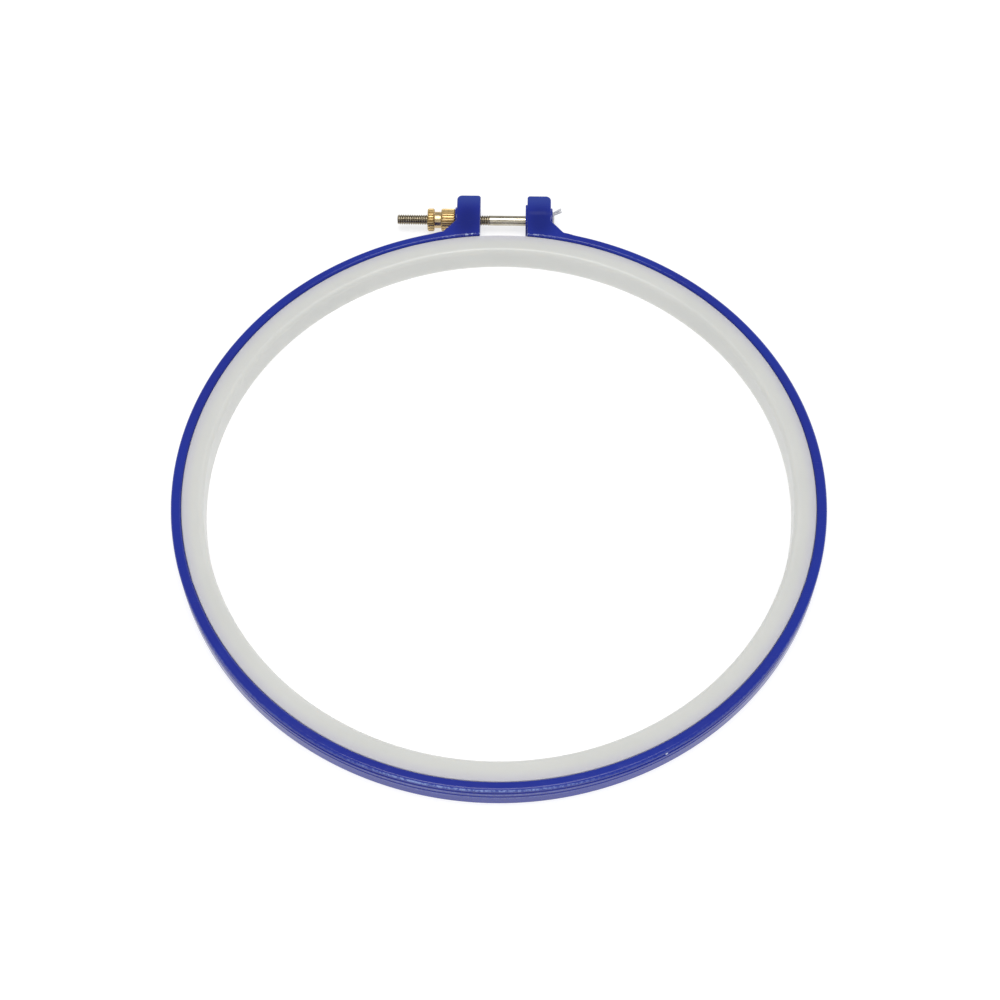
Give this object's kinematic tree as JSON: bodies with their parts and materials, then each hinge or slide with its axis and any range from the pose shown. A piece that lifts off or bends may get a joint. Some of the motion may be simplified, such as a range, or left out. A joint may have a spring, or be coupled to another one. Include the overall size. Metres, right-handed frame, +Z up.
{
  "type": "embroidery hoop",
  "caption": "Round plastic embroidery hoop: split outer ring with clamp lugs, bolt and knurled nut, closed inner ring that lifts out; grips cloth between the rings.",
  "frame": {"origin": "on the common axis of the two rings, in the plane that the hoop lies on", "axes": "+Z up along the rings' axis, +Y from the axis towards the clamp, +X towards the lug that holds the bolt's head"},
  "size_m": [0.2092, 0.2231, 0.0095],
  "materials": {
    "blue_plastic": "glossy injection-moulded plastic, dark blue",
    "white_plastic": "satin milky white plastic, slightly translucent",
    "plated_steel": "zinc-plated steel with a yellowish cast",
    "nut_brass": "turned and straight-knurled brass",
    "clear_nylon": "translucent natural nylon"
  },
  "bodies": {
    "ring_right": {"outer_ring_right": "blue_plastic", "tag_fastener_stub": "clear_nylon"},
    "ring_left": {"outer_ring_left": "blue_plastic"},
    "inner_ring": {"inner_ring": "white_plastic"},
    "bolt": {"clamp_bolt": "plated_steel"},
    "nut": {"knurled_nut": "nut_brass"}
  },
  "joints": [
    {"name": "nut_spin", "type": "hinge", "parent": "ring_left", "child": "nut", "pos_m": [-0.0219, 0.111, 0.00475], "axis": [-1, 0, 0], "range_deg": [0, 2160]},
    {"name": "ring_flex", "type": "hinge", "parent": "ring_right", "child": "ring_left", "pos_m": [0, -0.10297, 0.00475], "axis": [0, 0, 1], "range_deg": [0, 1.28]},
    {"name": "bolt_swing", "type": "hinge", "parent": "ring_right", "child": "bolt", "pos_m": [0.01535, 0.111, 0.00475], "axis": [0, 0, 1], "range_deg": [0, 0.75]},
    {"name": "inner_ring_lift", "type": "slide", "parent": "ring_right", "child": "inner_ring", "axis": [0, 0, 1], "range_m": [0, 0.03]}
  ],
  "couplings": [
    {"joint": "ring_flex", "follows": "nut_spin", "ratio": 0.00059058},
    {"joint": "bolt_swing", "follows": "nut_spin", "ratio": 0.00034254}
  ]
}
